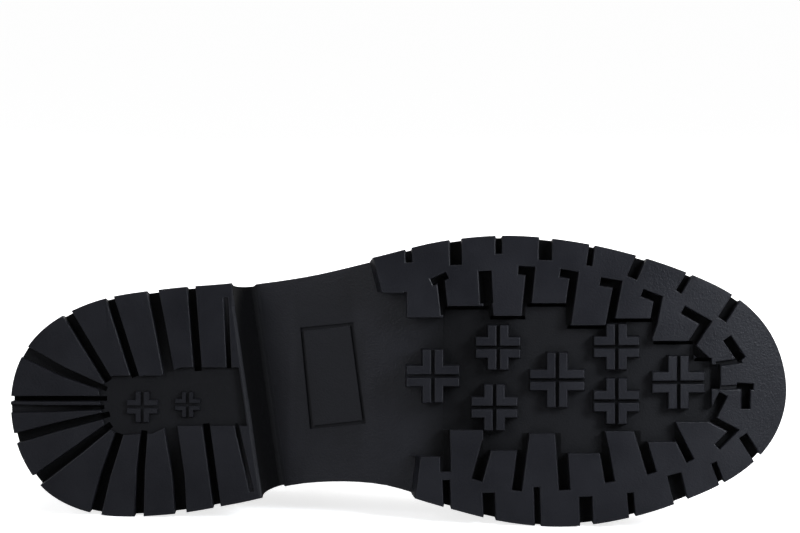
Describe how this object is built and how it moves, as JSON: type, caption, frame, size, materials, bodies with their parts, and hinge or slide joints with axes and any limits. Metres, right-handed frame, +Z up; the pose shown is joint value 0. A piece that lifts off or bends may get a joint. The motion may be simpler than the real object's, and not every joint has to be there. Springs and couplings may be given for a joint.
{
  "type": "loafer",
  "caption": "Right-foot slip-on loafer with saddle strap, hollow leather upper and deep-lugged rubber sole with heel, lying on its inner side.",
  "frame": {"origin": "on the floor, under the middle of the object's box", "axes": "+X from heel to toe, +Y from the tread to the collar, +Z up; the shoe lies on its inner side with the tread facing -Y"},
  "size_m": [0.2748, 0.1122, 0.1021],
  "materials": {
    "sole_rubber": "matt moulded black rubber",
    "welt_rubber": "matt black welt strip",
    "insole_lining": "dull dark lining leather",
    "upper_leather": "smooth black leather with a soft sheen",
    "strap_leather": "smooth black leather with a soft sheen",
    "tongue_leather": "smooth black leather with a soft sheen"
  },
  "bodies": {
    "root": {"outsole": "sole_rubber", "welt": "welt_rubber", "insole": "insole_lining", "upper": "upper_leather", "saddle_strap": "strap_leather", "tongue": "tongue_leather"}
  },
  "joints": []
}
